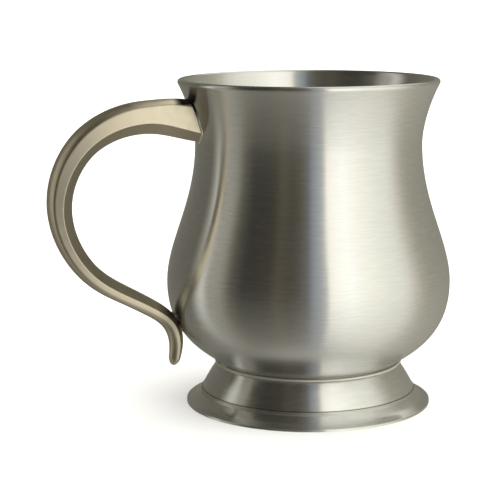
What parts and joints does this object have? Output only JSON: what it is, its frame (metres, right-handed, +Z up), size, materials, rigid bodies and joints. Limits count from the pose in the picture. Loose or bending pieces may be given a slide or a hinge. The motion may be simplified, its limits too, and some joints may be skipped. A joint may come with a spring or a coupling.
{
  "type": "tankard",
  "caption": "Footed tulip-shaped drinking tankard in satin pewter, open at the top, with a soldered S-shaped side handle.",
  "frame": {"origin": "the middle of the bounding box on the table plane, between the foot's rim and the handle", "axes": "+Z up along the bowl's own axis, handle towards -X, XZ is the mirror plane; the bowl's axis stands at x = +0.0212 m"},
  "size_m": [0.1426, 0.1002, 0.115],
  "materials": {
    "bowl": "pewter, satin turned",
    "foot": "pewter, satin turned",
    "foot_solder": "tin solder, bright",
    "handle": "pewter, cast and satin polished, warm",
    "handle_solder_top": "tin solder, bright",
    "handle_solder_low": "tin solder, rough"
  },
  "bodies": {
    "root": {"bowl": "bowl", "foot": "foot", "foot_solder": "foot_solder", "handle": "handle", "handle_solder_top": "handle_solder_top", "handle_solder_low": "handle_solder_low"}
  },
  "joints": []
}
